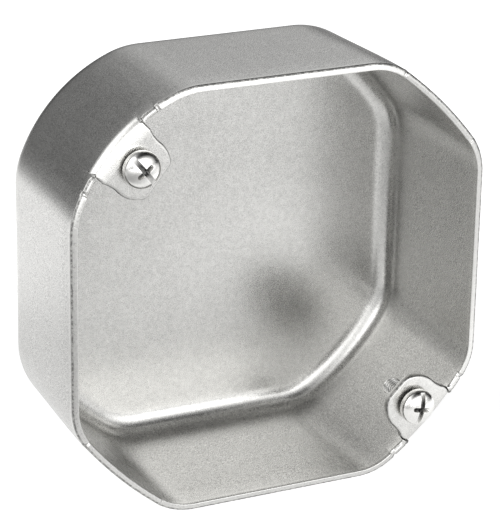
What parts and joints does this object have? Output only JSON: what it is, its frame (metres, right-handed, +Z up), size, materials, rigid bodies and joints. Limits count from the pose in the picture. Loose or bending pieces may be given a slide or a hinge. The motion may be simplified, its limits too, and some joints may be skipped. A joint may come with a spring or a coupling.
{
  "type": "electrical junction box",
  "caption": "Shallow octagonal drawn-steel junction box, blank sided and open at the front, with a bent-in ear and cover screw at two opposite corners.",
  "frame": {"origin": "centre of the outside of the back, which is the face that lies against the wall or ceiling", "axes": "+Y out of the back into the wall, so the box opens towards -Y; +X to the right and +Z up as the opening is looked into"},
  "size_m": [0.0922, 0.0419, 0.0922],
  "materials": {
    "galvanised_sheet": "galvanised drawn sheet steel, satin grey",
    "zinc_screw": "bright zinc plated steel"
  },
  "bodies": {
    "box": {"box_shell": "galvanised_sheet"},
    "upper_screw": {"upper_cover_screw": "zinc_screw"},
    "lower_screw": {"lower_cover_screw": "zinc_screw"}
  },
  "joints": [
    {"name": "upper_screw_travel", "type": "slide", "parent": "box", "child": "upper_screw", "axis": [0, -1, 0], "range_m": [-0.00075, 0.009]},
    {"name": "lower_screw_travel", "type": "slide", "parent": "box", "child": "lower_screw", "axis": [0, -1, 0], "range_m": [-0.00075, 0.009]}
  ]
}
